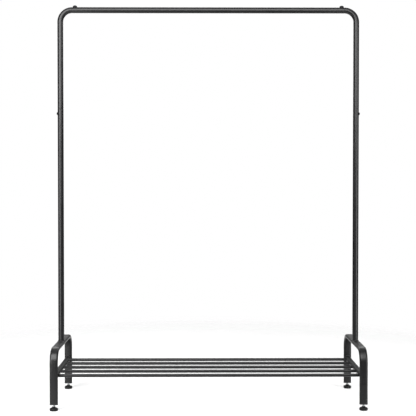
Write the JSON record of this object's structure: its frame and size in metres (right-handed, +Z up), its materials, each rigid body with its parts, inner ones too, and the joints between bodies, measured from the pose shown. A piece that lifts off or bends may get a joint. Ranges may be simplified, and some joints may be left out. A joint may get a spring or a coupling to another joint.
{
  "type": "garment rail",
  "caption": "Free-standing black tube garment rail: a hanging rail on two posts, arched leg frames, a low rod shelf and levelling feet.",
  "frame": {"origin": "on the floor, under the middle of the rail", "axes": "+Z up, +X along the rail to the right as seen from the front, -Y to the front"},
  "size_m": [1.1406, 0.415, 1.4805],
  "materials": {
    "powder_coat": "satin black powder coat",
    "plug_plastic": "matte moulded polypropylene",
    "foot_plastic": "fine-grained moulded nylon",
    "zinc_steel": "bright zinc plate",
    "black_screws": "black zinc plate"
  },
  "bodies": {
    "rail_frame": {"top_rail": "powder_coat", "corner_tube_left": "powder_coat", "corner_tube_right": "powder_coat", "upright_left": "powder_coat", "upright_right": "powder_coat", "leg_frame_left": "powder_coat", "leg_frame_right": "powder_coat", "shelf_end_bar_left": "powder_coat", "shelf_end_bar_right": "powder_coat", "shelf_rod_1": "powder_coat", "shelf_rod_2": "powder_coat", "shelf_rod_3": "powder_coat", "shelf_rod_4": "powder_coat", "shelf_rod_5": "powder_coat", "leg_plug_front_left": "plug_plastic", "leg_plug_front_right": "plug_plastic", "leg_plug_rear_left": "plug_plastic", "leg_plug_rear_right": "plug_plastic", "foot_nut_front_left": "zinc_steel", "foot_nut_front_right": "zinc_steel", "foot_nut_rear_left": "zinc_steel", "foot_nut_rear_right": "zinc_steel", "rail_screws": "black_screws", "rail_saddle_washers": "black_screws", "post_screws": "black_screws", "shelf_screws": "black_screws", "rail_nuts": "zinc_steel", "post_nuts": "zinc_steel", "shelf_washers": "zinc_steel", "rod_inserts": "zinc_steel"},
    "foot_front_left": {"foot_stud_front_left": "zinc_steel", "foot_pad_front_left": "foot_plastic"},
    "foot_front_right": {"foot_stud_front_right": "zinc_steel", "foot_pad_front_right": "foot_plastic"},
    "foot_rear_left": {"foot_stud_rear_left": "zinc_steel", "foot_pad_rear_left": "foot_plastic"},
    "foot_rear_right": {"foot_stud_rear_right": "zinc_steel", "foot_pad_rear_right": "foot_plastic"}
  },
  "joints": [
    {"name": "foot_front_left_screw", "type": "slide", "parent": "rail_frame", "child": "foot_front_left", "axis": [0, 0, -1], "range_m": [-0.004, 0.015]},
    {"name": "foot_front_right_screw", "type": "slide", "parent": "rail_frame", "child": "foot_front_right", "axis": [0, 0, -1], "range_m": [-0.004, 0.015]},
    {"name": "foot_rear_left_screw", "type": "slide", "parent": "rail_frame", "child": "foot_rear_left", "axis": [0, 0, -1], "range_m": [-0.004, 0.015]},
    {"name": "foot_rear_right_screw", "type": "slide", "parent": "rail_frame", "child": "foot_rear_right", "axis": [0, 0, -1], "range_m": [-0.004, 0.015]}
  ]
}
